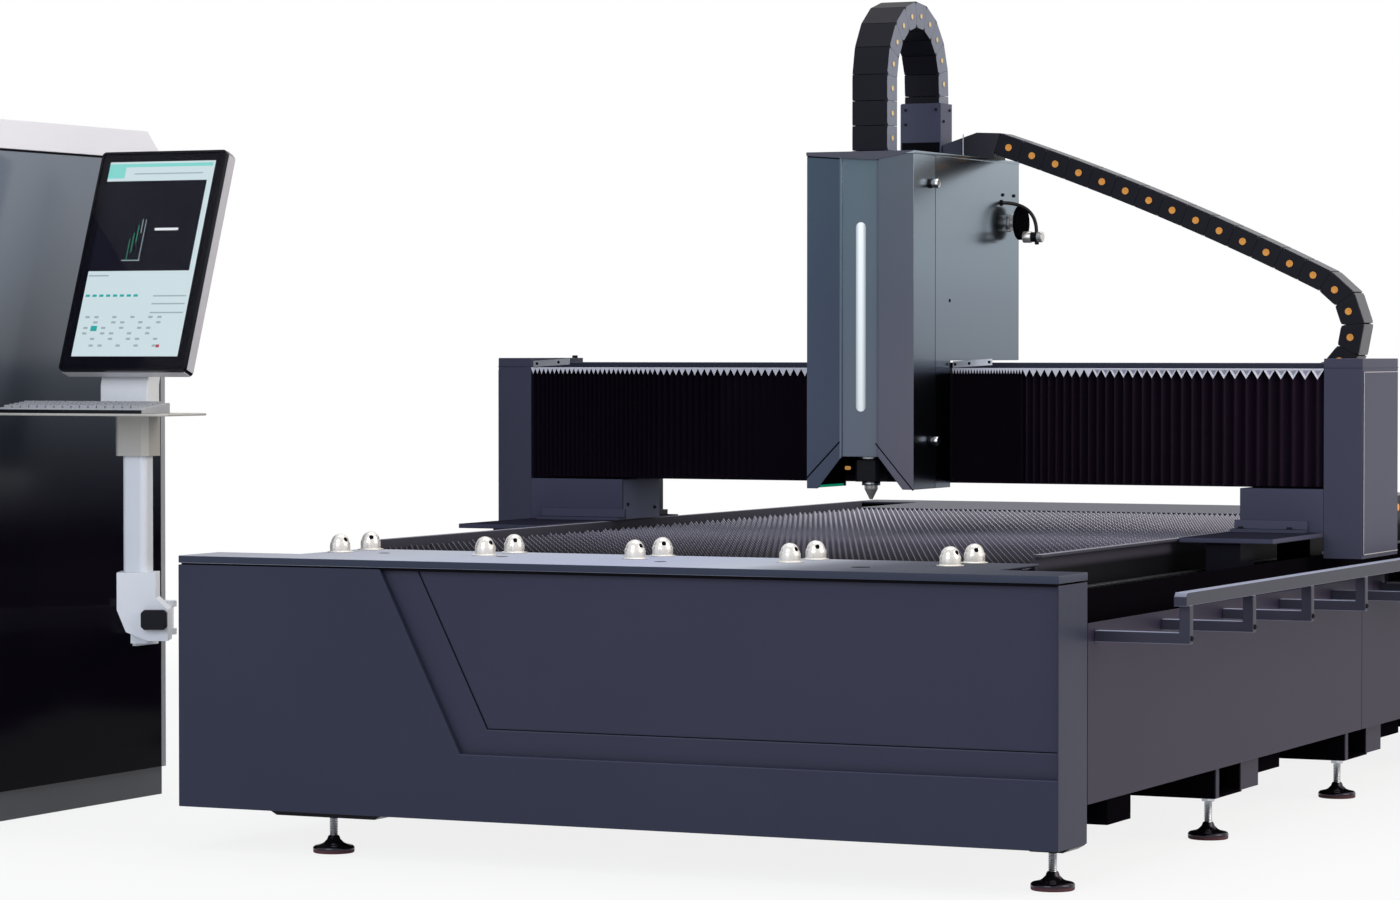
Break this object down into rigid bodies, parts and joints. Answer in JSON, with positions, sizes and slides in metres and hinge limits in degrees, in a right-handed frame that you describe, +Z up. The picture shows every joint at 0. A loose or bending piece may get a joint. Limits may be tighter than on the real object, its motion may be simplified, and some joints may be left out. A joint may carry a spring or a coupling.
{
  "type": "laser cutting machine",
  "caption": "Open-bed gantry laser cutter for sheet metal: slat table, bellows-covered cross axis, cutting head in a tall casing, drag chains and a control cabinet with a screen on an arm.",
  "frame": {"origin": "middle of the whole installation's footprint, bed and cabinet together, on the floor", "axes": "+X to the right along the gantry beam, +Y from the loading end along the bed, +Z up"},
  "size_m": [3.8252, 4.425, 2.1399],
  "materials": {
    "slate_paint": "satin dark slate paint",
    "inset_paint": "satin slate paint",
    "plate_paint": "pale grey paint",
    "cup_zinc": "zinc plated",
    "ball_steel": "polished",
    "foot_rubber": "moulded",
    "stem_zinc": "zinc plated",
    "guide_steel": "ground and oiled",
    "guard_black": "matt black paint",
    "table_paint": "grey paint",
    "slat_steel": "raw laser-cut steel",
    "tray_steel": "raw sheet steel",
    "chain_plastic": "moulded",
    "bellows_fabric": "coated cloth",
    "casing_satin": "satin metallic paint",
    "cover_paint": "satin slate paint",
    "opal_lens": "opal",
    "motor_black": "matt black",
    "valve_nickel": "nickel plated",
    "hose_black": "smooth",
    "bracket_zinc": "grey paint",
    "carriage_alloy": "machined",
    "head_black": "black anodised",
    "nozzle_metal": "plated copper",
    "cabinet_grey": "fine textured paint",
    "cap_grey": "pale grey paint",
    "panel_gloss": "gloss near black",
    "unit_alloy": "folded sheet",
    "arm_white": "off-white powder coat",
    "clamp_black": "moulded",
    "shelf_grey": "powder coat",
    "key_grey": "moulded",
    "monitor_black": "gloss black",
    "glass": "clear"
  },
  "bodies": {
    "bed": {"bed_frame": "slate_paint", "front_cover": "slate_paint", "front_inset_panel": "inset_paint", "loading_plate": "plate_paint", "ball_cups": "cup_zinc", "transfer_balls": "ball_steel", "side_panels": "slate_paint", "rear_cover": "slate_paint", "foot_pads": "foot_rubber", "foot_stems": "stem_zinc", "y_rails_and_racks": "guide_steel", "guide_guards": "guard_black", "table_frame": "table_paint", "slats": "slat_steel", "slag_trays": "tray_steel", "chain_shelf": "slate_paint", "y_drag_chain": "chain_plastic", "console_cabinet": "cabinet_grey", "console_panel": "panel_gloss", "console_cap": "cap_grey", "cabinet_hinges": "cabinet_grey", "cabinet_units": "unit_alloy", "arm_bracket": "arm_white"},
    "near_door": {"rear_door_near": "cabinet_grey"},
    "far_door": {"rear_door_far": "cabinet_grey"},
    "arm": {"support_arm": "arm_white", "arm_clamp": "clamp_black", "arm_post": "arm_white"},
    "console_head": {"swivel_block": "arm_white", "keyboard_shelf": "shelf_grey", "keyboard": "key_grey", "monitor_neck": "arm_white"},
    "monitor": {"monitor_housing": "monitor_black", "screen_glass": "glass"},
    "gantry": {"gantry_beam": "slate_paint", "end_columns": "slate_paint", "saddles": "slate_paint", "y_guide_blocks": "guide_steel", "y_motors": "motor_black", "x_rails_and_rack": "guide_steel", "left_bellows": "bellows_fabric", "right_bellows": "bellows_fabric", "x_drag_chain": "chain_plastic"},
    "right_pinion": {"right_y_pinion": "guide_steel"},
    "left_pinion": {"left_y_pinion": "guide_steel"},
    "carriage": {"carriage_plate": "carriage_alloy", "carriage_rails": "guide_steel", "head_casing": "casing_satin", "casing_front_cover": "cover_paint", "light_strip": "opal_lens", "carriage_motors": "motor_black", "gas_valve": "valve_nickel", "gas_hose": "hose_black", "chain_brackets": "bracket_zinc", "z_drag_chain": "chain_plastic"},
    "cross_pinion": {"x_pinion": "guide_steel"},
    "head_slide": {"z_plate": "carriage_alloy", "cutting_head": "head_black", "nozzle": "nozzle_metal"},
    "lift_screw": {"z_screw": "guide_steel"}
  },
  "joints": [
    {"name": "gantry_travel", "type": "slide", "parent": "bed", "child": "gantry", "axis": [0, 1, 0], "range_m": [-1.16, 1.78], "deforming": ["y_drag_chain"]},
    {"name": "cross_travel", "type": "slide", "parent": "gantry", "child": "carriage", "axis": [1, 0, 0], "range_m": [-0.72, 0.78], "deforming": ["left_bellows", "right_bellows", "x_drag_chain"]},
    {"name": "head_lift", "type": "slide", "parent": "carriage", "child": "head_slide", "axis": [0, 0, 1], "range_m": [-0.09, 0.03], "deforming": ["z_drag_chain"]},
    {"name": "right_pinion_spin", "type": "hinge", "parent": "gantry", "child": "right_pinion", "pos_m": [1.55195, 0.1745, 0.632], "axis": [0, 0, 1], "range_deg": [-3187.09, 2076.98]},
    {"name": "left_pinion_spin", "type": "hinge", "parent": "gantry", "child": "left_pinion", "pos_m": [-0.42265, 0.1745, 0.632], "axis": [0, 0, 1], "range_deg": [-2076.98, 3187.09]},
    {"name": "cross_pinion_spin", "type": "hinge", "parent": "carriage", "child": "cross_pinion", "pos_m": [0.53065, -0.1165, 1.0333], "axis": [0, 1, 0], "range_deg": [-1650.13, 1787.64]},
    {"name": "lift_screw_spin", "type": "hinge", "parent": "carriage", "child": "lift_screw", "pos_m": [0.53065, -0.2615, 1.2], "axis": [0, 0, 1], "range_deg": [-6480.01, 2160.01]},
    {"name": "arm_swing", "type": "hinge", "parent": "bed", "child": "arm", "pos_m": [-1.20335, -1.1225, 0.485], "axis": [0, 0, 1], "range_deg": [0, 14]},
    {"name": "console_swivel", "type": "hinge", "parent": "arm", "child": "console_head", "pos_m": [-0.93535, -1.6775, 0.98], "axis": [0, 0, 1], "range_deg": [-5, 35]},
    {"name": "monitor_tilt", "type": "hinge", "parent": "console_head", "child": "monitor", "pos_m": [-0.93535, -1.60634, 1.37763], "axis": [-1, 0, 0], "range_deg": [-3, 20]},
    {"name": "near_door_swing", "type": "hinge", "parent": "bed", "child": "near_door", "pos_m": [-1.88465, -2.2045, 0.8925], "axis": [0, 0, 1], "range_deg": [0, 110]},
    {"name": "far_door_swing", "type": "hinge", "parent": "bed", "child": "far_door", "pos_m": [-1.88465, -1.0215, 0.8925], "axis": [0, 0, -1], "range_deg": [0, 110]}
  ],
  "couplings": [
    {"joint": "right_pinion_spin", "follows": "gantry_travel", "rad_per_m": -31.25},
    {"joint": "left_pinion_spin", "follows": "gantry_travel", "rad_per_m": 31.25},
    {"joint": "cross_pinion_spin", "follows": "cross_travel", "rad_per_m": 40},
    {"joint": "lift_screw_spin", "follows": "head_lift", "rad_per_m": 1256.6}
  ]
}
